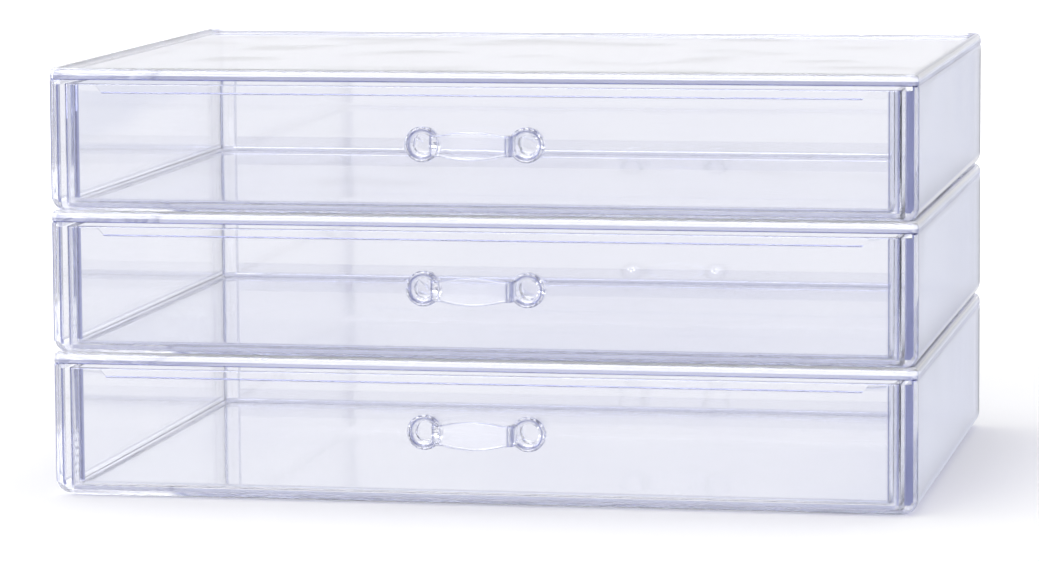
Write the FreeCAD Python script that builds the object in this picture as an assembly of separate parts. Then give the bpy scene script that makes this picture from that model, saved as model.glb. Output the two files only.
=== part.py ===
import FreeCAD, Part
import math
import os

# Three clear plastic drawer units that stack on each other, in millimetres.
# +X is right, +Y is back, +Z is up. The origin is on the surface the stack stands on,
# under the middle of its overall box, handles included.
# One unit is a case open at the front and top, a lid bonded on it, a drawer, and a bow handle.

UNIT_NAMES = ("lower", "middle", "upper")

# Case: floor, two sides and a back, moulded in one
CASE_WIDTH = 305.0
CASE_DEPTH = 220.0
CASE_HEIGHT = 47.1
CASE_WALL = 4.4
CASE_FLOOR = 2.0
CORNER_RADIUS = 3.2      # upright outer edges
BASE_RADIUS = 6.0        # outer edge all round the underside
CAVITY_RADIUS = 2.4      # upright inner edges at the back
CAVITY_FLOOR_RADIUS = 1.2
FRONT_EDGE_RADIUS = 0.5  # inner edges of the front opening

# Lid: a panel inside a raised, rounded rim that the next unit's base nests in
LID_RISE = 4.2           # top of the rim above the seam
LID_PANEL = 2.9
NOSE_HEIGHT = 2.6        # height of the rim's rounded outer edge
CREST_FLAT = 0.12
NEST_CLEARANCE = 0.3     # between the rim's hollow and the base that sits in it
LIP_WIDTH = 2.3          # locating lip under the lid, in a rebate of the case wall
LIP_DEPTH = 1.4
GLUE_GAP = 0.1
SEAM_CHAMFER = 0.35
SECTION_SHARE = 0.9      # width of the swept rim section, as a share of the corner radius

# Drawer
DRAWER_WALL = 2.6
DRAWER_FLOOR = 1.6
DRAWER_SIDE_GAP = 1.3
DRAWER_REAR_GAP = 1.0
DRAWER_TOP_GAP = 1.3
DRAWER_RUNNING_GAP = 0.3
DRAWER_CORNER_RADIUS = 2.2
DRAWER_BASE_RADIUS = 1.7
TRAY_CORNER_RADIUS = 2.5
TRAY_REAR_RADIUS = 5.3   # the tray's two inside corners at the back
TRAY_FLOOR_RADIUS = 1.8
DRAWER_EDGE_RADIUS = 0.5
RAIL_HEIGHT = 3.0        # stiffening rail inside the top of the drawer front
RAIL_PROUD = 0.8
RAIL_END_SETBACK = 13.5  # from the drawer's outer side to the end of the rail
RAIL_END_SLOPE = 2.4
RAIL_EDGE_RADIUS = 0.6

# Handle: two round bosses with spigots through the drawer front, and a leaf-shaped bow
HANDLE_DROP = 21.0       # handle centre below the seam
BOSS_SPACING = 36.6
BOSS_RADIUS = 6.15
BOSS_HEIGHT = 3.0
BEAD_RADIUS = 0.55       # rounded rim of the boss
DISH_DEPTH = 1.5
DISH_FLOOR_RADIUS = 3.4
SPIGOT_RADIUS = 3.5
SPIGOT_CLEARANCE = 0.05
HANDLE_REACH = 10.5      # drawer front to the outside of the bow
BOW_RISE = 1.4           # the bow's middle stands this much further out than its shoulders
BOW_THICKNESS = 2.6
BOW_HEIGHT = 10.1        # in the middle
BOW_EDGE_RADIUS = 0.8
LEG_HEIGHT = 7.3
LEG_INSET = 3.05         # from a boss's centre to the outside of the leg
LEG_LEAN = 0.6
SHOULDER_RADIUS = 2.8
INSIDE_RADIUS = 1.2
SWELL_REACH = 12.4       # the swell of the bow's edges ends this far from its middle
SWELL_END_RADIUS = 14.0

# Worked out from the sizes above
FRONT = (HANDLE_REACH - CASE_DEPTH) / 2
REAR = FRONT + CASE_DEPTH
HALF_WIDTH = CASE_WIDTH / 2
INNER_HALF_WIDTH = HALF_WIDTH - CASE_WALL
DRAWER_HALF_WIDTH = INNER_HALF_WIDTH - DRAWER_SIDE_GAP
DRAWER_REAR = REAR - CASE_WALL - DRAWER_REAR_GAP
DRAWER_BOTTOM = CASE_FLOOR + DRAWER_RUNNING_GAP
DRAWER_TOP = CASE_HEIGHT - DRAWER_TOP_GAP
UNIT_PITCH = CASE_HEIGHT + LID_PANEL
HANDLE_Z = CASE_HEIGHT - HANDLE_DROP
CREST_INSET = BASE_RADIUS - math.sqrt(
    (BASE_RADIUS + NEST_CLEARANCE) ** 2 - (LID_PANEL + BASE_RADIUS - LID_RISE) ** 2)


def vec(x, y, z):
    return FreeCAD.Vector(x, y, z)


def box(x0, x1, y0, y1, z0, z1):
    return Part.makeBox(x1 - x0, y1 - y0, z1 - z0, vec(x0, y0, z0))


def polygon_prism(points, direction):
    """A prism on a closed polygon, extruded along the direction."""
    return Part.Face(Part.makePolygon(points + points[:1])).extrude(direction)


def upright_edges(shape, z_low, z_high):
    """Straight vertical edges that run at least from z_low to z_high."""
    found = []
    for edge in shape.Edges:
        bounds = edge.BoundBox
        upright = bounds.XLength < 0.01 and bounds.YLength < 0.01
        if upright and bounds.ZMin < z_low + 0.01 and bounds.ZMax > z_high - 0.01:
            found.append(edge)
    return found


def level_edges(shape, z):
    """Edges that lie in the horizontal plane at z."""
    return [edge for edge in shape.Edges
            if abs(edge.BoundBox.ZMin - z) < 0.01 and abs(edge.BoundBox.ZMax - z) < 0.01]


def tub(x0, x1, y0, y1, z0, z1, corner_radius, base_radius, rear_radius=None):
    """A block with rounded upright edges and a larger or smaller round under it."""
    block = box(x0, x1, y0, y1, z0, z1)
    if base_radius > corner_radius:
        block = block.makeFillet(base_radius, level_edges(block, z0))
        return block.makeFillet(corner_radius, upright_edges(block, z0 + base_radius, z1))
    corners = upright_edges(block, z0, z1)
    block = block.makeFillet(corner_radius, [edge for edge in corners if edge.BoundBox.YMin < y1 - 0.01])
    corners = [edge for edge in upright_edges(block, z0, z1) if edge.BoundBox.YMin > y1 - 0.01]
    block = block.makeFillet(rear_radius or corner_radius, corners)
    return block.makeFillet(base_radius, level_edges(block, z0))


def rounded_outline(x0, x1, y0, y1, z, radius):
    """A closed rounded rectangle at height z that starts in the middle of its front side."""
    middle = (x0 + x1) / 2
    half_chord = radius * (1 - math.sqrt(0.5))
    corners = (
        ((x1 - radius, y0), (x1 - half_chord, y0 + half_chord), (x1, y0 + radius)),
        ((x1, y1 - radius), (x1 - half_chord, y1 - half_chord), (x1 - radius, y1)),
        ((x0 + radius, y1), (x0 + half_chord, y1 - half_chord), (x0, y1 - radius)),
        ((x0, y0 + radius), (x0 + half_chord, y0 + half_chord), (x0 + radius, y0)))
    edges = []
    here = vec(middle, y0, z)
    for start, bend, end in corners:
        start, bend, end = (vec(x, y, z) for x, y in (start, bend, end))
        edges += [Part.LineSegment(here, start).toShape(), Part.Arc(start, bend, end).toShape()]
        here = end
    edges.append(Part.LineSegment(here, vec(middle, y0, z)).toShape())
    return Part.Wire(edges)


def case_outer(grow):
    """The outside of a case, with every face moved outwards by grow."""
    return tub(-HALF_WIDTH - grow, HALF_WIDTH + grow, FRONT - grow, REAR + grow,
               -grow, CASE_HEIGHT, CORNER_RADIUS + grow, BASE_RADIUS + grow)


def make_case():
    case = case_outer(0)
    top_edges = level_edges(case, CASE_HEIGHT)
    case = case.makeChamfer(SEAM_CHAMFER, top_edges)
    # The cavity runs out through the front and the top, so only its back corners are rounded
    overrun = BASE_RADIUS + CAVITY_RADIUS
    cavity = box(-INNER_HALF_WIDTH, INNER_HALF_WIDTH, FRONT - overrun, REAR - CASE_WALL,
                 CASE_FLOOR, CASE_HEIGHT + overrun)
    back_corners = [edge for edge in upright_edges(cavity, CASE_FLOOR, CASE_HEIGHT)
                    if edge.BoundBox.YMin > 0]
    cavity = cavity.makeFillet(CAVITY_RADIUS, back_corners)
    floor_edges = [edge for edge in level_edges(cavity, CASE_FLOOR)
                   if edge.BoundBox.YMax > FRONT - overrun + 0.01]
    cavity = cavity.makeFillet(CAVITY_FLOOR_RADIUS, floor_edges)
    case = case.cut(cavity)
    opening_edges = [edge for edge in case.Edges
                     if edge.BoundBox.YMax < FRONT + 0.01 and edge.BoundBox.ZMin > CASE_FLOOR - 0.01
                     and max(abs(edge.BoundBox.XMin), abs(edge.BoundBox.XMax)) < INNER_HALF_WIDTH + 0.01]
    case = case.makeFillet(FRONT_EDGE_RADIUS, opening_edges)
    rebate = lip_ring(GLUE_GAP, FRONT - overrun, CASE_HEIGHT - LIP_DEPTH - GLUE_GAP, CASE_HEIGHT + 1)
    return case.cut(rebate)


def lip_ring(clearance, front_end, z0, z1):
    """The lid's locating lip, or with a clearance the rebate for it: along both sides and the back."""
    inset = CASE_WALL - LIP_WIDTH - clearance
    outer = box(-HALF_WIDTH + inset, HALF_WIDTH - inset, front_end, REAR - inset, z0, z1)
    inner = box(-INNER_HALF_WIDTH, INNER_HALF_WIDTH, front_end - 1, REAR - CASE_WALL, z0 - 1, z1 + 1)
    return outer.cut(inner)


def make_lid():
    seam = CASE_HEIGHT
    nose_width = CREST_INSET - CREST_FLAT
    frame_width = CORNER_RADIUS * SECTION_SHARE
    # Half section of the rim at the middle of the front: upright edge, elliptical nose, crest
    bottom_out = vec(0, FRONT + SEAM_CHAMFER, seam)
    chamfer_top = vec(0, FRONT, seam + SEAM_CHAMFER)
    nose_low = vec(0, FRONT, seam + LID_RISE - NOSE_HEIGHT)
    nose_high = vec(0, FRONT + nose_width, seam + LID_RISE)
    crest_in = vec(0, FRONT + frame_width, seam + LID_RISE)
    bottom_in = vec(0, FRONT + frame_width, seam)
    nose_centre = vec(0, nose_high.y, nose_low.z)
    ellipse = Part.Ellipse(nose_high, nose_low, nose_centre) if NOSE_HEIGHT > nose_width \
        else Part.Ellipse(nose_low, nose_high, nose_centre)
    ends = sorted((ellipse.parameter(nose_high), ellipse.parameter(nose_low)))
    if ends[1] - ends[0] > math.pi:
        ends = [ends[1], ends[0] + 2 * math.pi]
    lines = [Part.makeLine(a, b) for a, b in (
        (bottom_out, chamfer_top), (chamfer_top, nose_low), (nose_high, crest_in),
        (crest_in, bottom_in), (bottom_in, bottom_out))]
    section = Part.Wire(Part.__sortEdges__(lines + [ellipse.toShape(*ends)]))
    path = rounded_outline(-HALF_WIDTH, HALF_WIDTH, FRONT, REAR, seam, CORNER_RADIUS)
    rim = path.makePipeShell([section], True, False)
    plate = box(-HALF_WIDTH + frame_width, HALF_WIDTH - frame_width,
                FRONT + frame_width, REAR - frame_width, seam, seam + LID_RISE)
    lip = lip_ring(0, FRONT + SEAM_CHAMFER, seam - LIP_DEPTH, seam)
    lid = rim.fuse([plate, lip]).removeSplitter()
    # The hollow is the next unit's base, grown by the clearance but flat at the panel
    hollow = case_outer(NEST_CLEARANCE)
    hollow.translate(vec(0, 0, UNIT_PITCH))
    above_panel = box(-CASE_WIDTH, CASE_WIDTH, -CASE_DEPTH, CASE_DEPTH,
                      seam + LID_PANEL, seam + LID_PANEL + BASE_RADIUS)
    return lid.cut(hollow.common(above_panel))


def make_drawer():
    drawer = tub(-DRAWER_HALF_WIDTH, DRAWER_HALF_WIDTH, FRONT, DRAWER_REAR,
                 DRAWER_BOTTOM, DRAWER_TOP, DRAWER_CORNER_RADIUS, DRAWER_BASE_RADIUS)
    tray = tub(-DRAWER_HALF_WIDTH + DRAWER_WALL, DRAWER_HALF_WIDTH - DRAWER_WALL,
               FRONT + DRAWER_WALL, DRAWER_REAR - DRAWER_WALL,
               DRAWER_BOTTOM + DRAWER_FLOOR, DRAWER_TOP + 1, TRAY_CORNER_RADIUS, TRAY_FLOOR_RADIUS,
               TRAY_REAR_RADIUS)
    drawer = drawer.cut(tray)
    drawer = drawer.makeFillet(DRAWER_EDGE_RADIUS, level_edges(drawer, DRAWER_TOP))
    # Rail: its ends slope inwards as it goes down
    rail_end = DRAWER_HALF_WIDTH - RAIL_END_SETBACK
    rail_top = DRAWER_TOP - DRAWER_EDGE_RADIUS
    rail_bottom = rail_top - RAIL_HEIGHT
    y = FRONT + DRAWER_WALL - RAIL_PROUD
    rail = polygon_prism([vec(-rail_end - RAIL_END_SLOPE, y, rail_top), vec(rail_end + RAIL_END_SLOPE, y, rail_top),
                          vec(rail_end, y, rail_bottom), vec(-rail_end, y, rail_bottom)],
                         vec(0, 2 * RAIL_PROUD, 0))
    lower_edges = [edge for edge in level_edges(rail, rail_bottom) if edge.BoundBox.YMin > y + RAIL_PROUD]
    rail = rail.makeFillet(RAIL_EDGE_RADIUS, lower_edges)
    drawer = drawer.fuse(rail)
    for side in (-1, 1):
        hole = Part.makeCylinder(SPIGOT_RADIUS + SPIGOT_CLEARANCE, 3 * DRAWER_WALL,
                                 vec(side * BOSS_SPACING / 2, FRONT - DRAWER_WALL, HANDLE_Z), vec(0, 1, 0))
        drawer = drawer.cut(hole)
    return drawer.removeSplitter()


def out(x, reach, z=0.0):
    """A point by its distance out from the drawer front, on the handle's centre line."""
    return vec(x, FRONT - reach, HANDLE_Z + z)


def arc(start, through, end):
    return Part.Arc(start, through, end).toShape()


def chain(points):
    """Straight edges from each point to the next."""
    return [Part.makeLine(a, b) for a, b in zip(points, points[1:])]


def mirror_x(shape):
    return shape.mirror(vec(0, 0, 0), vec(1, 0, 0))


def bow_plan():
    """The bow seen from above, as a tall slab: two legs and an outward-curved bar."""
    foot = BOSS_SPACING / 2 - LEG_INSET
    corner = foot - LEG_LEAN
    corner_reach = HANDLE_REACH - BOW_RISE
    inner_corner = corner - BOW_THICKNESS
    inner_reach = corner_reach - BOW_THICKNESS
    outer = chain([out(foot, 0), out(corner, corner_reach)])
    outer.append(arc(out(corner, corner_reach), out(0, HANDLE_REACH), out(-corner, corner_reach)))
    outer += chain([out(-corner, corner_reach), out(-foot, 0), out(-foot + BOW_THICKNESS, 0),
                    out(-inner_corner, inner_reach)])
    outer.append(arc(out(-inner_corner, inner_reach), out(0, HANDLE_REACH - BOW_THICKNESS),
                     out(inner_corner, inner_reach)))
    outer += chain([out(inner_corner, inner_reach), out(foot - BOW_THICKNESS, 0), out(foot, 0)])
    slab = Part.Face(Part.Wire(outer)).extrude(vec(0, 0, 2 * BOW_HEIGHT))
    slab.translate(vec(0, 0, -BOW_HEIGHT))
    # Upright edges: the shoulders outside and inside, but not the feet
    standing = [edge for edge in upright_edges(slab, HANDLE_Z - BOW_HEIGHT, HANDLE_Z + BOW_HEIGHT)
                if edge.BoundBox.YMin < FRONT - BOSS_HEIGHT]
    shoulders = [edge for edge in standing if edge.BoundBox.YMin < FRONT - corner_reach + 0.01]
    slab = slab.makeFillet(SHOULDER_RADIUS, shoulders)
    insides = [edge for edge in upright_edges(slab, HANDLE_Z - BOW_HEIGHT, HANDLE_Z + BOW_HEIGHT)
               if abs(edge.BoundBox.YMin - FRONT + inner_reach) < 0.01]
    return slab.makeFillet(INSIDE_RADIUS, insides)


def bow_leaf():
    """The bow seen from the front: its edges swell in the middle and run level along the legs."""
    end = BOSS_SPACING / 2
    leg_half = LEG_HEIGHT / 2
    middle_half = BOW_HEIGHT / 2
    # The swell is a round outward arc and a smaller inward one, tangent where they meet
    turn = 2 * math.atan((middle_half - leg_half) / SWELL_REACH)
    crown_radius = SWELL_REACH / math.sin(turn) - SWELL_END_RADIUS
    join = crown_radius * math.sin(turn)
    join_z = middle_half - crown_radius * (1 - math.cos(turn))
    half_turn_x = SWELL_REACH - SWELL_END_RADIUS * math.sin(turn / 2)
    half_turn_z = leg_half + SWELL_END_RADIUS * (1 - math.cos(turn / 2))
    top = chain([out(end, 0, leg_half), out(SWELL_REACH, 0, leg_half)])
    top.append(arc(out(SWELL_REACH, 0, leg_half), out(half_turn_x, 0, half_turn_z), out(join, 0, join_z)))
    top.append(arc(out(join, 0, join_z), out(0, 0, middle_half), out(-join, 0, join_z)))
    top.append(arc(out(-join, 0, join_z), out(-half_turn_x, 0, half_turn_z), out(-SWELL_REACH, 0, leg_half)))
    top += chain([out(-SWELL_REACH, 0, leg_half), out(-end, 0, leg_half)])
    bottom = [edge.mirror(out(0, 0), vec(0, 0, 1)) for edge in top]
    sides = [chain([out(side * end, 0, leg_half), out(side * end, 0, -leg_half)])[0] for side in (-1, 1)]
    outline = Part.Wire(Part.__sortEdges__(top + bottom + sides))
    return Part.Face(outline).extrude(vec(0, -2 * HANDLE_REACH, 0))


def boss():
    """A round boss with a beaded rim, a dished face and a spigot behind, on the handle's centre line."""
    bead_centre = BOSS_RADIUS - BEAD_RADIUS
    bead_base = BOSS_HEIGHT - BEAD_RADIUS
    dish_edge = bead_centre - BEAD_RADIUS
    dish_floor = BOSS_HEIGHT - DISH_DEPTH
    # The dish's wall is an arc that starts at the bead and runs level into the floor
    drop = bead_base - dish_floor
    run = dish_edge - DISH_FLOOR_RADIUS
    wall_radius = (run ** 2 + drop ** 2) / (2 * drop)
    wall_turn = math.asin(run / wall_radius) / 2
    wall_middle = (DISH_FLOOR_RADIUS + wall_radius * math.sin(wall_turn),
                   dish_floor + wall_radius * (1 - math.cos(wall_turn)))
    edges = chain([out(0, dish_floor), out(0, -DRAWER_WALL), out(SPIGOT_RADIUS, -DRAWER_WALL),
                   out(SPIGOT_RADIUS, 0), out(BOSS_RADIUS, 0), out(BOSS_RADIUS, bead_base)])
    edges.append(arc(out(BOSS_RADIUS, bead_base), out(bead_centre, BOSS_HEIGHT), out(dish_edge, bead_base)))
    edges.append(arc(out(dish_edge, bead_base), out(*wall_middle), out(DISH_FLOOR_RADIUS, dish_floor)))
    edges += chain([out(DISH_FLOOR_RADIUS, dish_floor), out(0, dish_floor)])
    return Part.Face(Part.Wire(edges)).revolve(out(0, 0), vec(0, 1, 0), 360)


def make_handle():
    bow = bow_plan().common(bow_leaf())
    long_edges = [edge for edge in bow.Edges if edge.BoundBox.YMax < FRONT - 0.01
                  and edge.BoundBox.XLength > 0.01 and edge.BoundBox.YLength > 0.0]
    bow = bow.makeFillet(BOW_EDGE_RADIUS, long_edges)
    right = boss()
    right.translate(vec(BOSS_SPACING / 2, 0, 0))
    return bow.fuse([right, mirror_x(right)]).removeSplitter()


def main():
    os.makedirs("parts", exist_ok=True)
    pieces = {"case": make_case(), "lid": make_lid(), "drawer": make_drawer(), "handle": make_handle()}
    for level, unit in enumerate(UNIT_NAMES):
        for piece, shape in pieces.items():
            placed = shape.copy()
            placed.translate(vec(0, 0, level * UNIT_PITCH))
            placed.exportStep("parts/" + unit + "_" + piece + ".step")
            print(unit, piece, placed.isValid(), len(placed.Solids), round(placed.Volume))


main()
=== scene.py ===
import math

import bmesh
import bpy
from mathutils import Matrix, Vector


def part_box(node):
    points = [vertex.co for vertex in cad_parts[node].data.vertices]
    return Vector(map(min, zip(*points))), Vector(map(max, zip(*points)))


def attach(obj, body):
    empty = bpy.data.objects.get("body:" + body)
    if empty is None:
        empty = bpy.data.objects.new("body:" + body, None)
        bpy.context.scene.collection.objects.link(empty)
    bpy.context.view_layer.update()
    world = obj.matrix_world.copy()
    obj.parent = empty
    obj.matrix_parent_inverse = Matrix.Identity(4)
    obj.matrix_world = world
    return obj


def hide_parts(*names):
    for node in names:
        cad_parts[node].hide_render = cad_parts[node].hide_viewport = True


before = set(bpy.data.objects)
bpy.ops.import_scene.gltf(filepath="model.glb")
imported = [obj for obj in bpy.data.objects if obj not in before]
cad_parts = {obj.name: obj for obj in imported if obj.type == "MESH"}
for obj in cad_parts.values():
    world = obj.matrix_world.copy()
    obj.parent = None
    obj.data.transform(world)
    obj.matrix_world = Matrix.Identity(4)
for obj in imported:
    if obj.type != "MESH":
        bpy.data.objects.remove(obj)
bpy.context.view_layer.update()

mm = 0.001  # the frame is in metres
same = 0.001  # two places this close, in mm, are one
unitNames = ("lower", "middle", "upper")


class Wire:  # one output socket, so that shader maths reads as sums

    def __init__(self, tree, socket):
        self.tree = tree
        self.socket = socket

    def maths(self, operation, *values):
        return self.tree.node("ShaderNodeMath", {"operation": operation}, dict(enumerate(values)))

    def __add__(self, other):
        return self.maths("ADD", self, other)

    def __radd__(self, other):
        return self.maths("ADD", other, self)

    def __sub__(self, other):
        return self.maths("SUBTRACT", self, other)

    def __rsub__(self, other):
        return self.maths("SUBTRACT", other, self)

    def __mul__(self, other):
        return self.maths("MULTIPLY", self, other)

    def __rmul__(self, other):
        return self.maths("MULTIPLY", other, self)

    def magnitude(self):
        return self.maths("ABSOLUTE", self)


class ShaderTree:

    def __init__(self, owner):
        owner.use_nodes = True
        self.tree = owner.node_tree
        self.tree.nodes.clear()

    def node(self, kind, settings=None, sockets=None, output=0):
        made = self.tree.nodes.new(kind)
        for name, value in (settings or {}).items():
            setattr(made, name, value)
        for name, value in (sockets or {}).items():
            if isinstance(value, Wire):
                self.tree.links.new(value.socket, made.inputs[name])
            else:
                made.inputs[name].default_value = value
        return Wire(self, made.outputs[output]) if len(made.outputs) else made

    def blend(self, share, first, second):  # the first colour where the share is 0, the second where it is 1
        colours = {"Factor": share, 6: first, 7: second}
        return self.node("ShaderNodeMix", {"data_type": "RGBA"}, colours, output=2)

    def smoothShare(self, value, edges):  # 0 below the first edge, 1 above the second
        low, high = edges
        return self.node("ShaderNodeMapRange", {"interpolation_type": "SMOOTHSTEP"},
                         {"Value": value, "From Min": low, "From Max": high})

    def along(self, axis, vector):
        return self.node("ShaderNodeSeparateXYZ", None, {0: vector}, output=axis)

    def rayKind(self, kind):
        return self.node("ShaderNodeLightPath", output=kind)


class Ring:  # one rounded rectangle of a lofted wall: inset from the outline, height, corner radius

    def __init__(self, inset, height, radius, rearRadius=None):
        self.inset = inset
        self.height = height
        self.radii = (radius, rearRadius or radius)


def quarter(steps):
    return [math.radians(90) * step / steps for step in range(steps + 1)]


def push(bm, faces, by, keepOld=False):  # extrudes the faces and returns the new ones
    made = bmesh.ops.extrude_face_region(bm, geom=faces)["geom"]
    if not keepOld:
        bmesh.ops.delete(bm, geom=faces, context="FACES_KEEP_BOUNDARY")
    bmesh.ops.translate(bm, vec=by, verts=[item for item in made if isinstance(item, bmesh.types.BMVert)])
    return [item for item in made if isinstance(item, bmesh.types.BMFace)]


def loft(bm, halfX, halfY, rings, cornerSteps):
    halves = (halfX, halfY)
    first = rings[0]
    made = bmesh.ops.create_grid(bm, x_segments=1, y_segments=1, size=1)
    for vert in made["verts"]:
        vert.co.x *= halfX - first.inset
        vert.co.y *= halfY - first.inset
        vert.co.z = first.height
    bevelled = bmesh.ops.bevel(bm, geom=made["verts"], offset=first.radii[0], offset_type="OFFSET",
                               segments=cornerSteps, profile=0.5, affect="VERTICES", material=-1)
    cap = next(face for face in bm.faces if bevelled["verts"][0] in face.verts)
    for before, after in zip(rings, rings[1:]):
        cap = push(bm, [cap], (0, 0, 0), before is first)[0]
        for vert in cap.verts:
            rear = vert.co.y > 0
            for axis in (0, 1):
                centre = halves[axis] - before.inset - before.radii[rear]
                turned = (abs(vert.co[axis]) - centre) / before.radii[rear]
                place = halves[axis] - after.inset - after.radii[rear] * (1 - turned)
                vert.co[axis] = math.copysign(place, vert.co[axis])
            vert.co.z = after.height
    bmesh.ops.recalc_face_normals(bm, faces=bm.faces)


def withEdges(faces):  # the faces with their edges and corners, each of them once
    parts = list(faces)
    for face in faces:
        parts += [*face.edges, *face.verts]
    return list(dict.fromkeys(parts))


def asObject(bm, name):
    mesh = bpy.data.meshes.new(name)
    bm.to_mesh(mesh)
    bm.free()
    made = bpy.data.objects.new(name, mesh)
    bpy.context.scene.collection.objects.link(made)
    return made


def paintShadeAndGlow(shape, rule):  # keeps each face's painted tone: above 0 painted shade, below 0 a painted glow
    mesh = shape.data
    tint = mesh.attributes.new("paintedShadeGlow", "FLOAT", "FACE")
    for face in mesh.polygons:
        tint.data[face.index].value = rule(face.center, face.normal)


def carve(body, cutter):  # takes the cutter out of the body, and bins the cutter
    cut = body.modifiers.new("cut", "BOOLEAN")
    cut.operation = "DIFFERENCE"
    cut.solver = "EXACT"
    cut.object = cutter
    shaped = bpy.data.meshes.new_from_object(body.evaluated_get(bpy.context.evaluated_depsgraph_get()))
    body.modifiers.clear()
    old = body.data
    body.data = shaped
    bpy.data.meshes.remove(old)
    bpy.data.objects.remove(cutter)


sharpAngle = math.radians(35)


def dress(shape, name, node, body, place):  # a copy of the shape at its unit, ready to render
    piece = bpy.data.objects.new(name, shape.data.copy())
    bpy.context.scene.collection.objects.link(piece)
    piece.data.transform(Matrix.Translation(place) @ Matrix.Scale(mm, 4))
    piece.data.shade_smooth()
    even = piece.modifiers.new("evenNormals", "WEIGHTED_NORMAL")
    even.keep_sharp = True
    piece.data.set_sharp_from_angle(angle=sharpAngle)
    piece.data.materials.clear()
    piece.data.materials.append(plastic)
    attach(piece, body)
    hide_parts(node)
    return piece


unit = {}
for name in unitNames:
    low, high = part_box(name + "_case")
    unit[name] = {"middle": Vector((0, (low.y + high.y) / 2, low.z)), "low": low, "high": high}
caseSize = (unit["lower"]["high"] - unit["lower"]["low"]) / mm
pitch = (unit["middle"]["low"].z - unit["lower"]["low"].z) / mm
drawerLow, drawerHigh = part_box("lower_drawer")
drawerTop = drawerHigh.z / mm

case = {
    "wall": 4.4,
    "floor": 2.0,
    "cornerRadius": 3.2,
    "baseRadius": 6.0,
    "baseSteps": 10,
    "cornerSteps": 8,
    "seamChamfer": 0.35,
    "backRadius": 2.4,
    "floorRadius": 1.2,
    "rebateInset": 2.0,
    "rebateDepth": 1.5,
    "floorSteps": 5,
    "mouthRadius": 0.5,
    "mouthSteps": 3,
    "overrun": 10,  # how far a cutter stands out of what it cuts
    "airGap": 0.04,  # pieces that touch are this far apart, so light meets air between them
}

# Painted shade and painted glow: each face gets a tone. Above 0 it is painted darker with a blue tint and
# metal, below 0 it gets a painted glow. These stand in for the dark and bright lines that light running inside
# clear walls makes at their edges, and some tones differ between the left and right sides. The tone of a face
# follows from where it lies and where it looks. Turns and downs are in degrees.
casePaintedTones = {
    "wallTop": 0.8,
    "ledge": 0.7,
    "mouthRight": 0.8,
    "mouthLeft": 0.3,
    "post": 0.9,
    "postRightTurn": 56,
    "postLeftTurn": 50,
    "rearPost": 0.4,
    "rearPostTurns": (28, 75),
    "frontBase": 0.05,
    "rightBase": 0.5,
    "leftBaseTop": 0.4,
    "leftBase": -0.4,
    "backBase": 0.8,
    "downLevel": 1,
    "downLow": 5,
    "downHigh": 80,
    "level": 0.03,
    "backWall": 0.08,
    "uprightLean": 0.3,
    "lean": 0.1,
}
flat = 0.99  # the part of a normal that lies along an axis, on a face that is square to it
ahead = 89  # the turn of a face that looks ahead


def baseRings(grow, steps):
    radius = case["baseRadius"] + grow
    return [Ring(radius * (1 - math.sin(turn)) - grow, radius * (1 - math.cos(turn)) - grow,
                 case["cornerRadius"] + grow) for turn in quarter(steps)]


def lean(normal):  # 0 on a face that is level or upright along an axis, 1 halfway between two of them
    return min((1 - max(abs(part) for part in normal)) / (1 - math.sqrt(0.5)), 1)


def sideTurn(normal):  # degrees round an upright edge, from a face that looks sideways to one that looks ahead
    return math.degrees(math.atan2(abs(normal.y), abs(normal.x)))


# painted shade and painted glow of each face of the case
def paintCaseShade(place, normal):
    tone = casePaintedTones
    right = place.x > 0
    upright = abs(normal.z) < 0.3
    turn = sideTurn(normal)
    if place.z > caseSize.z - case["rebateDepth"] - 0.1 and normal.z > 0.1:
        onTop = place.z > caseSize.z - 0.1 and normal.z > 0.9
        return tone["wallTop"] if onTop else tone["ledge"] * lean(normal)
    if upright and place.y < case["cornerRadius"] - caseSize.y / 2:
        if place.x * normal.x < -1:
            return tone["mouthRight"] if right else tone["mouthLeft"]
        dark = turn > tone["postRightTurn"] if right else turn < tone["postLeftTurn"]
        return tone["post"] if dark or turn > ahead else 0
    if upright and place.y > caseSize.y / 2 - case["cornerRadius"]:
        first, last = tone["rearPostTurns"]
        return tone["rearPost"] if first < turn < last else 0
    if place.z < case["baseRadius"] and normal.z < -0.02:
        down = math.degrees(math.acos(min(abs(normal.z), 1)))
        if -normal.y > abs(normal.x):
            return tone["frontBase"] if down < tone["downLevel"] else 0
        if abs(normal.x) <= abs(normal.y):
            return tone["backBase"] if down > tone["downHigh"] else 0
        if right:
            return tone["rightBase"] if down > tone["downLow"] else tone["frontBase"]
        if down > tone["downHigh"]:
            return tone["leftBaseTop"]
        return tone["leftBase"] if down > tone["downLow"] else 0
    if abs(normal.z) > flat:
        return tone["level"]
    if place.y > 0 and abs(normal.y) > flat:
        return tone["backWall"]
    return tone["uprightLean" if upright else "lean"] * lean(normal)


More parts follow.
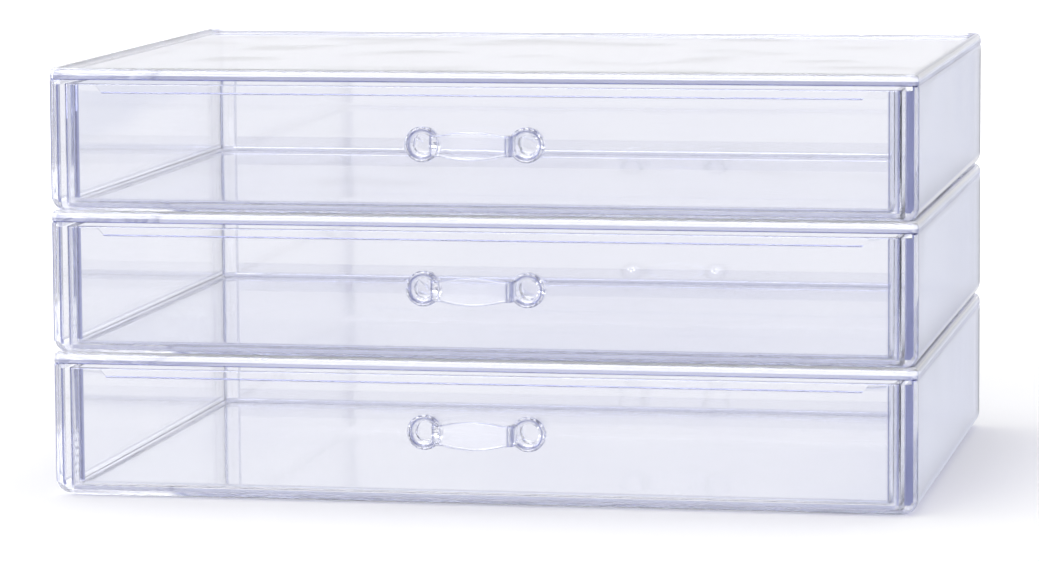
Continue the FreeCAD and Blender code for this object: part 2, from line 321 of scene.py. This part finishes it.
def makeCaseShape():
    halfX, halfY, top = caseSize.x / 2, caseSize.y / 2, caseSize.z - case["airGap"]
    bm = bmesh.new()
    rings = baseRings(0, case["baseSteps"])
    rings.append(Ring(0, top - case["seamChamfer"], case["cornerRadius"]))
    rings.append(Ring(case["seamChamfer"], top, case["cornerRadius"] - case["seamChamfer"]))
    loft(bm, halfX, halfY, rings, case["cornerSteps"])
    shape = asObject(bm, "caseShape")
    overrun = case["overrun"]
    bm = bmesh.new()
    soft = case["floorRadius"]
    rings = [Ring(soft * (1 - math.sin(turn)), case["floor"] + soft * (1 - math.cos(turn)),
                  case["backRadius"] - soft * (1 - math.sin(turn))) for turn in quarter(case["floorSteps"])]
    rings.append(Ring(0, top + overrun, case["backRadius"]))
    loft(bm, halfX - case["wall"], halfY + (overrun - case["wall"]) / 2, rings, case["cornerSteps"])
    bmesh.ops.translate(bm, vec=(0, -(overrun + case["wall"]) / 2, 0), verts=bm.verts)
    carve(shape, asObject(bm, "cavity"))
    bm = bmesh.new()
    bmesh.ops.create_cube(bm, size=1)
    inset = case["rebateInset"]
    bmesh.ops.scale(bm, vec=(2 * (halfX - inset), 2 * halfY + overrun - inset, overrun + case["rebateDepth"]),
                    verts=bm.verts)
    bmesh.ops.translate(bm, vec=(0, -(overrun + inset) / 2, top + (overrun - case["rebateDepth"]) / 2),
                        verts=bm.verts)
    carve(shape, asObject(bm, "rebate"))
    bm = bmesh.new()
    bm.from_mesh(shape.data)
    mouth = [edge for edge in bm.edges
             if all(abs(vert.co.y + halfY) < same and abs(vert.co.x) < halfX - case["wall"] + same
                    and vert.co.z < top - case["rebateDepth"] + same for vert in edge.verts)]
    bmesh.ops.bevel(bm, geom=mouth, offset=case["mouthRadius"], offset_type="OFFSET",
                    segments=case["mouthSteps"], profile=0.5, affect="EDGES", material=-1)
    bm.to_mesh(shape.data)
    bm.free()
    paintShadeAndGlow(shape, paintCaseShade)
    return shape


lid = {
    "rise": 4.2,
    "panel": 2.9,
    "noseHeight": 2.6,
    "crestFlat": 0.12,
    "nestGap": 0.3,
    "lipWidth": 2.3,
    "lipDepth": 1.4,
    "lipFront": 0.3,  # from the chamfer to the lip's front end
    "noseSteps": 10,
    "hollowSteps": 6,
}

# painted shade (above 0) and painted glow (below 0) of the lid's faces
lidPaintedTones = {
    "crestBand": 0.45,  # height of the top of the rim that has its own painted tone
    "rimWidth": 8,
    "underRight": 0.9,
    "under": 0.1,
    "hollowRight": 0.6,
    "hollow": 0.15,
    "panel": 0.1,
    "seam": 1.0,
    "frontFoot": 0.65,
    "foot": 0.45,
    "nose": -0.2,
    "frontCrest": -0.4,
    "rightCrest": 0.5,
    "crest": 0.2,
}


# painted shade and painted glow of each face of the lid
def paintLidShade(place, normal):
    tone = lidPaintedTones
    height = place.z - caseSize.z
    if abs(height) < 0.01:
        return tone["underRight"] if place.x > caseSize.x / 2 - case["wall"] else tone["under"]
    if height < 0:
        return 0
    if place.x * normal.x + place.y * normal.y < -1:
        return tone["hollowRight"] if normal.x < -0.3 else tone["hollow"]
    if normal.z > 0.9 and height < lid["rise"] - 0.1:
        return tone["panel"]
    if normal.z < -0.1:
        return tone["seam"]
    if height < lid["rise"] - lid["noseHeight"]:
        return tone["frontFoot"] if normal.y < -0.9 else tone["foot"]
    if height < lid["rise"] - tone["crestBand"]:
        return tone["nose"]
    if place.y < tone["rimWidth"] - caseSize.y / 2:
        return tone["frontCrest"]
    return tone["rightCrest"] if place.x > caseSize.x / 2 - tone["rimWidth"] else tone["crest"]


def makeLidShape():
    halfX, halfY, seam = caseSize.x / 2, caseSize.y / 2, caseSize.z
    corner = case["cornerRadius"]
    nest = case["baseRadius"] + lid["nestGap"]
    centre = lid["panel"] + case["baseRadius"]  # height of the nested base's round above the seam
    crest = case["baseRadius"] - math.sqrt(nest ** 2 - (centre - lid["rise"]) ** 2)
    nose = crest - lid["crestFlat"]
    rings = [Ring(case["seamChamfer"], 0, corner - case["seamChamfer"]), Ring(0, case["seamChamfer"], corner)]
    for turn in quarter(lid["noseSteps"]):
        inset = nose * (1 - math.cos(turn))
        rings.append(Ring(inset, lid["rise"] - lid["noseHeight"] * (1 - math.sin(turn)), corner - inset))
    rings.append(Ring(crest, lid["rise"], corner + lid["nestGap"]))
    first = math.acos((centre - lid["rise"]) / nest)
    last = math.acos((centre - lid["panel"]) / nest)
    for step in range(1, lid["hollowSteps"] + 1):
        turn = first + (last - first) * step / lid["hollowSteps"]
        rings.append(Ring(case["baseRadius"] - nest * math.sin(turn), centre - nest * math.cos(turn),
                          corner + lid["nestGap"]))
    rings[-1].height -= case["airGap"]
    for ring in rings:
        ring.height += seam
    bm = bmesh.new()
    loft(bm, halfX, halfY, rings, case["cornerSteps"])
    # the locating lip: the underside is cut along its edges and pushed down
    outer = case["wall"] - lid["lipWidth"]
    cuts = [((side * (halfX - inset), 0, 0), (1, 0, 0)) for side in (-1, 1) for inset in (outer, case["wall"])]
    cuts += [((0, halfY - inset, 0), (0, 1, 0)) for inset in (outer, case["wall"])]
    lipEnd = case["seamChamfer"] + lid["lipFront"] - halfY
    cuts.append(((0, lipEnd, 0), (0, 1, 0)))
    for place, normal in cuts:
        level = [face for face in bm.faces if all(abs(vert.co.z - seam) < same for vert in face.verts)]
        bmesh.ops.bisect_plane(bm, geom=withEdges(level), plane_co=place, plane_no=normal)
    lip = []
    for face in bm.faces:
        middle = face.calc_center_median()
        if not all(abs(vert.co.z - seam) < same for vert in face.verts):
            continue
        onSide = halfX - case["wall"] < abs(middle.x) < halfX - outer
        onBack = halfY - case["wall"] < middle.y < halfY - outer
        inside = abs(middle.x) < halfX - outer and lipEnd < middle.y < halfY - outer
        if inside and (onSide or onBack):
            lip.append(face)
    push(bm, lip, (0, 0, -lid["lipDepth"]))
    shape = asObject(bm, "lidShape")
    paintShadeAndGlow(shape, paintLidShade)
    return shape


drawer = {
    "wall": 2.6,
    "floor": 1.6,
    "cornerRadius": 2.2,
    "baseRadius": 1.7,
    "trayRadius": 2.5,
    "trayRearRadius": 5.3,
    "trayFloorRadius": 1.8,
    "footHeight": 3.7,  # a strip at the foot of the walls with its own faces
    "baseSteps": 6,
    "edgeRadius": 0.5,
    "edgeSteps": 4,
    "railHeight": 3.0,
    "railProud": 0.8,
    "railSetback": 13.5,
    "railSlope": 2.4,
    "railSoft": 0.6,
    "railSteps": 4,
    "cornerSteps": 8,
    "spigotHole": 3.55,
    "holeSteps": 64,
    "bossSpacing": 36.6,
}

drawerPaintedTones = {  # painted shade and painted glow of the drawer's faces; the posts are the upright rounds at the corners
    "rearFoot": 0.18,
    "rearPostRight": 0.8,
    "rearPostLeft": 0.35,
    "rearPostTurns": (78, 88),
    "rearOuter": 0.1,
    "rearOuterTurns": (2, 34),
    "innerRight": 0.8,
    "innerRightTurns": (62, 80),
    "innerRightRest": 0.1,
    "innerLeft": 0.85,
    "innerLeftTurns": (2, 88),
    "outerDark": 0.8,
    "outerDarkTurns": (45, 68),
    "outerPale": 0.35,
    "outerPaleTurns": (68, 89),
    "level": 0.03,
    "rimHeight": 4,
    "rail": 0.8,
    "railTop": 1,
    "sideRoundBelow": 0.1,
    "sideRoundTurned": 0.4,
    "sideRoundLow": 0.3,
    "sideRoundHigh": -0.1,
    "frontRoundBelow": 0.55,
    "frontRoundLow": 0.35,
    "frontRound": 0.2,
}


# painted shade and painted glow of each face of the drawer
def paintDrawerShade(place, normal):
    tone = drawerPaintedTones
    inside = place.x * normal.x + place.y * normal.y < 0
    right = place.x > 0
    turn = sideTurn(normal)

    def within(turns):
        return tone[turns][0] < turn < tone[turns][1]

    if abs(normal.z) < 0.05:
        if place.y > 0:
            if inside and turn > 88 and place.z < drawerTop / 3:
                return tone["rearFoot"]
            if inside and within("rearPostTurns"):
                return tone["rearPostRight"] if right else tone["rearPostLeft"]
            return tone["rearOuter"] if within("rearOuterTurns") else 0
        if inside and right:
            if within("innerRightTurns"):
                return tone["innerRight"]
            return tone["innerRightRest"] if turn < 88 else 0
        if inside:
            return tone["innerLeft"] if within("innerLeftTurns") else 0
        if within("outerDarkTurns"):
            return tone["outerDark"]
        return tone["outerPale"] if within("outerPaleTurns") else 0
    if abs(normal.z) > flat:
        return tone["level"]
    if place.z > drawerTop - tone["rimHeight"]:
        return tone["rail"] if place.z < drawerTop - tone["railTop"] else lean(normal)
    if place.y > 0 or abs(normal.x) > 0.1:
        if normal.z < 0:
            return tone["sideRoundBelow"]
        if abs(normal.y) > 0.1:
            return tone["sideRoundTurned"]
        return tone["sideRoundLow"] if normal.z > 0.85 else tone["sideRoundHigh"]
    if abs(normal.y) > 0.5 and normal.z < 0:
        return tone["frontRoundBelow"]
    return tone["frontRoundLow"] if normal.z > 0.5 else tone["frontRound"]


def makeDrawerShape():
    size = (drawerHigh - drawerLow) / mm
    halfX, halfY, bottom, top = size.x / 2, size.y / 2, drawerLow.z / mm, drawerTop
    handleLow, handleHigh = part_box("lower_handle")
    wall, edge = drawer["wall"], drawer["edgeRadius"]
    corner, base = drawer["cornerRadius"], drawer["baseRadius"]
    soft = drawer["trayFloorRadius"]
    trayFloor = bottom + drawer["floor"]
    rings = [Ring(base * (1 - math.sin(turn)), bottom + base * (1 - math.cos(turn)),
                  corner - base * (1 - math.sin(turn))) for turn in quarter(drawer["baseSteps"])]
    rings += [Ring(edge * (1 - math.cos(turn)), top - edge * (1 - math.sin(turn)),
                   corner - edge * (1 - math.cos(turn))) for turn in quarter(drawer["edgeSteps"])]
    inner, rear = drawer["trayRadius"], drawer["trayRearRadius"]
    for turn in quarter(drawer["edgeSteps"]):
        grow = edge * (1 - math.sin(turn))
        rings.append(Ring(wall - grow, top - edge * (1 - math.cos(turn)), inner + grow, rear + grow))
    rings.append(Ring(wall, trayFloor + soft + drawer["footHeight"], inner, rear))
    for turn in quarter(drawer["baseSteps"]):
        shrink = soft * (1 - math.cos(turn))
        rings.append(Ring(wall + shrink, trayFloor + soft * (1 - math.sin(turn)),
                          inner - shrink, rear - shrink))
    bm = bmesh.new()
    loft(bm, halfX, halfY, rings, drawer["cornerSteps"])
    walls = [face for face in bm.faces if face.calc_area() > size.x * size.z / 4 and face.normal.y > flat]
    inside = min(walls, key=lambda face: face.calc_center_median().y)
    railTop = top - edge
    railEnd = halfX - drawer["railSetback"]
    slope = drawer["railSlope"]
    rise = drawer["railHeight"]
    cuts = [((0, 0, railTop - rise), (0, 0, 1)), ((railEnd, 0, railTop - rise), (rise, 0, -slope)),
            ((-railEnd, 0, railTop - rise), (rise, 0, slope))]
    strip = [inside]
    for place, normal in cuts:
        cut = bmesh.ops.bisect_plane(bm, geom=withEdges(strip), plane_co=place, plane_no=normal)["geom"]
        strip = [item for item in cut if isinstance(item, bmesh.types.BMFace)
                 and item.calc_center_median().z > railTop - rise]
    rail = min(strip, key=lambda face: abs(face.calc_center_median().x))
    push(bm, [rail], (0, drawer["railProud"], 0))
    railInside = wall - halfY + drawer["railProud"]
    lower = [line for line in bm.edges if all(abs(vert.co.y - railInside) < same
             and abs(vert.co.z - railTop + rise) < same for vert in line.verts)]
    bmesh.ops.bevel(bm, geom=lower, offset=drawer["railSoft"], offset_type="OFFSET",
                    segments=drawer["railSteps"], profile=0.5, affect="EDGES", material=-1)
    shape = asObject(bm, "drawerShape")
    middle = (handleLow.z + handleHigh.z) / 2 / mm
    hole = drawer["spigotHole"]
    for side in (-1, 1):
        bm = bmesh.new()
        bmesh.ops.create_cone(bm, segments=drawer["holeSteps"], radius1=hole, radius2=hole, depth=4 * wall,
                              cap_ends=True)
        bmesh.ops.rotate(bm, matrix=Matrix.Rotation(math.radians(90), 3, "X"), verts=bm.verts)
        bmesh.ops.translate(bm, vec=(side * drawer["bossSpacing"] / 2, -halfY, middle), verts=bm.verts)
        carve(shape, asObject(bm, "spigotHole"))
    paintShadeAndGlow(shape, paintDrawerShade)
    return shape


# the bow's front gets a painted glow (a painted highlight), its rounds a painted shade by how far they lean
handle = {
    "frontDepth": 2,
    "paintedFrontGlow": -0.05,
    "lean": 0.8,
}


def makeHandleShape():
    bm = bmesh.new()
    bm.from_mesh(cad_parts["lower_handle"].data)
    bmesh.ops.remove_doubles(bm, verts=bm.verts, dist=same * mm)
    bmesh.ops.scale(bm, vec=(1 / mm, 1 / mm, 1 / mm), verts=bm.verts)
    bmesh.ops.translate(bm, vec=(0, -case["airGap"], 0), verts=bm.verts)
    shape = asObject(bm, "handleShape")
    front = min(vert.co.y for vert in shape.data.vertices) + handle["frontDepth"]

    # painted glow on the bow's front, painted shade on its rounds
    def paintHandleShade(place, normal):
        return handle["paintedFrontGlow"] if place.y < front and normal.y < -0.9 else handle["lean"] * lean(normal)

    paintShadeAndGlow(shape, paintHandleShade)
    return shape


clearPlastic = {
    "tint": (0.98, 0.983, 0.994, 1.0),
    "cloudTint": (0.968, 0.971, 0.988, 1.0),  # faint clouds in the moulded sheet
    "cloudScale": 14.0,
    "cloudDetail": 2.0,
    "cloudEdges": (0.35, 0.65),
    "rippleScale": 30.0,  # long shallow ripples that bend the lines seen through a panel
    "rippleHeight": 0.00002,
    # the edge tint and the edge dark share are painted shade: the colour and metal that darken faces with a
    # tone above 0
    "paintedShadeTint": (0.22, 0.24, 0.46, 1.0),
    "paintedShadeMetal": 0.8,
    "paintedGlow": (0.95, 0.96, 1.0, 1.0),  # painted glow that faces with a tone below 0 give off, standing in for light the plastic pipes out
    "ior": 1.53,
    "roughness": 0.0,
    "absorbed": (0.6, 0.65, 0.85, 1.0),
    "density": 0.4,  # per metre of plastic
    "shadow": (0.8, 0.8, 0.88, 1.0),  # what is left of lamp light behind one surface
}


def makeClearPlastic():
    material = bpy.data.materials.new("clearPlastic")
    tree = ShaderTree(material)
    # the face tone read here is painted: above 0 painted shade through the tint and metal, below 0 a painted
    # glow through emission
    edge = tree.node("ShaderNodeAttribute", {"attribute_name": "paintedShadeGlow"}, output="Fac")
    place = tree.node("ShaderNodeTexCoord", output="Object")
    cloud = tree.node("ShaderNodeTexNoise", None, {
        "Vector": place, "Scale": clearPlastic["cloudScale"], "Detail": clearPlastic["cloudDetail"]})
    ripple = tree.node("ShaderNodeTexNoise", None, {
        "Vector": place, "Scale": clearPlastic["rippleScale"], "Detail": 0.0})
    clouded = tree.smoothShare(cloud, clearPlastic["cloudEdges"])
    sheet = tree.blend(clouded, clearPlastic["tint"], clearPlastic["cloudTint"])
    plastic = tree.node("ShaderNodeBsdfPrincipled", None, {
        "Base Color": tree.blend(edge, sheet, clearPlastic["paintedShadeTint"]),
        "Metallic": edge.maths("MAXIMUM", edge, 0.0) * clearPlastic["paintedShadeMetal"],
        "Emission Color": tree.blend(0 - edge, (0, 0, 0, 1), clearPlastic["paintedGlow"]),
        "Emission Strength": 1.0,
        "Roughness": clearPlastic["roughness"],
        "IOR": clearPlastic["ior"],
        "Transmission Weight": 1.0,
        "Normal": tree.node("ShaderNodeBump", None, {
            "Strength": 1.0, "Distance": clearPlastic["rippleHeight"], "Height": ripple}),
    })
    forLamps = tree.node("ShaderNodeBsdfTransparent", None, {"Color": clearPlastic["shadow"]})
    shadowRay = tree.rayKind("Is Shadow Ray")
    surface = tree.node("ShaderNodeMixShader", None, {0: shadowRay, 1: plastic, 2: forLamps})
    inside = tree.node("ShaderNodeVolumeAbsorption", None, {
        "Color": clearPlastic["absorbed"], "Density": clearPlastic["density"]})
    tree.node("ShaderNodeOutputMaterial", None, {"Surface": surface, "Volume": inside})
    return material


studio = {
    "floorHalf": 6.0,
    "floorDrop": 0.02 * mm,  # so that the floor doesn't touch the lowest unit
    "floorColour": (0.8, 0.8, 0.8, 1.0),
    "nearGlow": 0.13,  # what the camera sees on top of the lit floor, beside the object and far from it
    "farGlow": 1.0,
    "glowEdges": (0.3, 1.1),  # metres from the middle
    "fill": 0.6,
    "white": (1.0, 1.0, 1.0, 1.0),
    "level": (0.96, 0.96, 0.99, 1.0),  # the floor as clear plastic shows it
    "beside": (0.74, 0.76, 0.86, 1.0),  # the same, painted darker as shadow on the shaded side
    "besideSlant": 0.1,  # how much the shaded side draws away from the middle towards the back
    "besideEdges": (0.11, 0.15),
    "card": (0.34, 0.37, 0.62, 1.0),  # dark boards on both sides that draw the upright edges
    "cardSlant": 0.8,
    "cardEdges": (0.1, 0.4),
    "cardTop": (0.3, 0.6),
    "cardDepth": (1.0, 2.0),  # reflections after which the boards show, so they don't tint a clear view
    "backdrop": (0.97, 0.97, 1.0, 1.0),
    "ceiling": (1.15, 1.15, 1.17, 1.0),
    "ceilingEdges": (0.2, 0.45),  # heights of direction between which the ceiling takes over
    "zenith": (0.88, 0.89, 0.93, 1.0),  # the ceiling straight above, so the lid isn't lost in it from the top
    "zenithEdges": (0.75, 0.97),
}


def cardShare(tree, place):  # 0 ahead and behind, 1 straight out to the sides
    across = tree.along("X", place).magnitude()
    behind = tree.along("Y", place).magnitude()
    side = tree.smoothShare(across - behind * studio["cardSlant"], studio["cardEdges"])
    return side * tree.smoothShare(tree.rayKind("Glossy Depth"), studio["cardDepth"])


def makeFloor():
    bpy.ops.mesh.primitive_plane_add(size=2 * studio["floorHalf"], location=(0, 0, -studio["floorDrop"]))
    floor = bpy.context.object
    floor.name = "floor"
    material = bpy.data.materials.new("floorPaper")
    tree = ShaderTree(material)
    place = tree.node("ShaderNodeTexCoord", output="Object")
    away = tree.node("ShaderNodeVectorMath", {"operation": "LENGTH"}, {0: place}, output="Value")
    paper = tree.node("ShaderNodeBsdfDiffuse", None, {"Color": studio["floorColour"]})
    camera = tree.rayKind("Is Camera Ray")
    bent = tree.rayKind("Is Glossy Ray") + tree.rayKind("Is Transmission Ray")
    bent = bent.maths("MINIMUM", bent, 1.0) * (1 - camera)
    far = tree.smoothShare(away, studio["glowEdges"])
    strength = studio["nearGlow"] + far * (studio["farGlow"] - studio["nearGlow"])
    glow = tree.node("ShaderNodeEmission", None, {"Color": studio["white"], "Strength": camera * strength})
    across = tree.along("X", place) - tree.along("Y", place) * studio["besideSlant"]
    tone = tree.blend(tree.smoothShare(across, studio["besideEdges"]), studio["level"], studio["beside"])
    tone = tree.blend(cardShare(tree, place), tone, studio["card"])
    seen = tree.node("ShaderNodeEmission", None, {"Color": tone})
    direct = tree.node("ShaderNodeAddShader", None, {0: paper, 1: glow})
    both = tree.node("ShaderNodeMixShader", None, {0: bent, 1: direct, 2: seen})
    tree.node("ShaderNodeOutputMaterial", None, {"Surface": both})
    floor.data.materials.append(material)


def makeWorld():  # the camera sees white, the floor gets even fill light, and the plastic shows a studio
    world = bpy.data.worlds.new("studioWorld")
    bpy.context.scene.world = world
    tree = ShaderTree(world)
    direction = tree.node("ShaderNodeTexCoord", output="Generated")
    up = tree.along("Z", direction)
    room = tree.blend(tree.smoothShare(up, studio["ceilingEdges"]), studio["backdrop"], studio["ceiling"])
    room = tree.blend(tree.smoothShare(up, studio["zenithEdges"]), room, studio["zenith"])
    board = cardShare(tree, direction) * (1 - tree.smoothShare(up, studio["cardTop"]))
    around = tree.node("ShaderNodeBackground", None, {"Color": tree.blend(board, room, studio["card"])})
    plain = tree.node("ShaderNodeBackground", None, {"Color": studio["white"], "Strength": studio["fill"]})
    paper = tree.node("ShaderNodeBackground", None, {"Color": studio["white"]})
    lit = tree.node("ShaderNodeMixShader", None, {0: tree.rayKind("Is Diffuse Ray"), 1: around, 2: plain})
    sky = tree.node("ShaderNodeMixShader", None, {0: tree.rayKind("Is Camera Ray"), 1: lit, 2: paper})
    tree.node("ShaderNodeOutputWorld", None, {"Surface": sky})


lamps = {
    "top": {"place": (-0.1, 0.15, 1.4), "size": (1.0, 1.0), "watts": 9.0},
    "front": {"place": (-0.2, -1.3, 1.0), "size": (1.1, 0.5), "watts": 8.0},
    "left": {"place": (-1.3, -0.55, 0.5), "size": (0.2, 1.0), "watts": 3.3},
    "rearRight": {"place": (0.85, 1.1, 0.5), "size": (0.2, 0.8), "watts": 2.7},
}
notThrough = ("top", "rearRight")  # lamps that aren't seen through the plastic, where they would blaze
notMirrored = ("rearRight",)
lampAim = Vector((0, 0, 0.07))


def makeLamps():
    for name, lamp in lamps.items():
        light = bpy.data.lights.new(name + "Lamp", "AREA")
        light.shape = "RECTANGLE"
        light.size, light.size_y = lamp["size"]
        light.energy = lamp["watts"]
        holder = bpy.data.objects.new(name + "Lamp", light)
        bpy.context.scene.collection.objects.link(holder)
        holder.location = lamp["place"]
        holder.visible_transmission = name not in notThrough
        holder.visible_glossy = name not in notMirrored
        aim = lampAim - holder.location
        holder.rotation_euler = aim.to_track_quat("-Z", "Y").to_euler()


view = {
    "place": (0.3282, -1.7030, 0.2687),
    "yaw": 11.084,
    "pitch": 6.642,
    "roll": -0.366,
    "lens": 165.13,
    "sensor": 36.0,
    "nearest": 0.01,
}


def makeCamera():
    lens = bpy.data.cameras.new("camera")
    lens.lens = view["lens"]
    lens.sensor_width = view["sensor"]
    lens.clip_start = view["nearest"]
    camera = bpy.data.objects.new("camera", lens)
    bpy.context.scene.collection.objects.link(camera)
    turn = Matrix.Rotation(math.radians(view["yaw"]), 4, "Z")
    tilt = Matrix.Rotation(math.radians(90 - view["pitch"]), 4, "X")
    tip = Matrix.Rotation(math.radians(view["roll"]), 4, "Z")
    camera.matrix_world = Matrix.Translation(view["place"]) @ turn @ tilt @ tip
    bpy.context.scene.camera = camera


bounces = 100  # light inside the plastic meets many surfaces, and stopping it early leaves black lines
makers = {"case": makeCaseShape, "lid": makeLidShape, "drawer": makeDrawerShape, "handle": makeHandleShape}

scene = bpy.context.scene
scene.view_settings.view_transform = "Standard"
scene.cycles.max_bounces = bounces
scene.cycles.transmission_bounces = bounces
scene.cycles.glossy_bounces = bounces
scene.cycles.transparent_max_bounces = 32
makeFloor()
makeWorld()
makeLamps()
makeCamera()
print("studio, lamps and camera stand")
plastic = makeClearPlastic()
print("clear plastic mixed")
shapes = {}
for kind, make in makers.items():
    shapes[kind] = make()
    print(kind, "shape made with", len(shapes[kind].data.polygons), "faces")
for level, name in enumerate(unitNames):
    lift = Vector((0, 0, level * pitch * mm))
    middle = Vector((0, (drawerLow.y + drawerHigh.y) / 2, 0))
    dress(shapes["case"], name + "CaseShell", name + "_case", name + "_unit", unit[name]["middle"])
    dress(shapes["lid"], name + "LidPanel", name + "_lid", name + "_unit", unit[name]["middle"])
    dress(shapes["drawer"], name + "DrawerTray", name + "_drawer", name + "_tray", middle + lift)
    dress(shapes["handle"], name + "BowHandle", name + "_handle", name + "_tray", lift)
    print(name, "unit dressed")
for shape in shapes.values():
    bpy.data.objects.remove(shape)
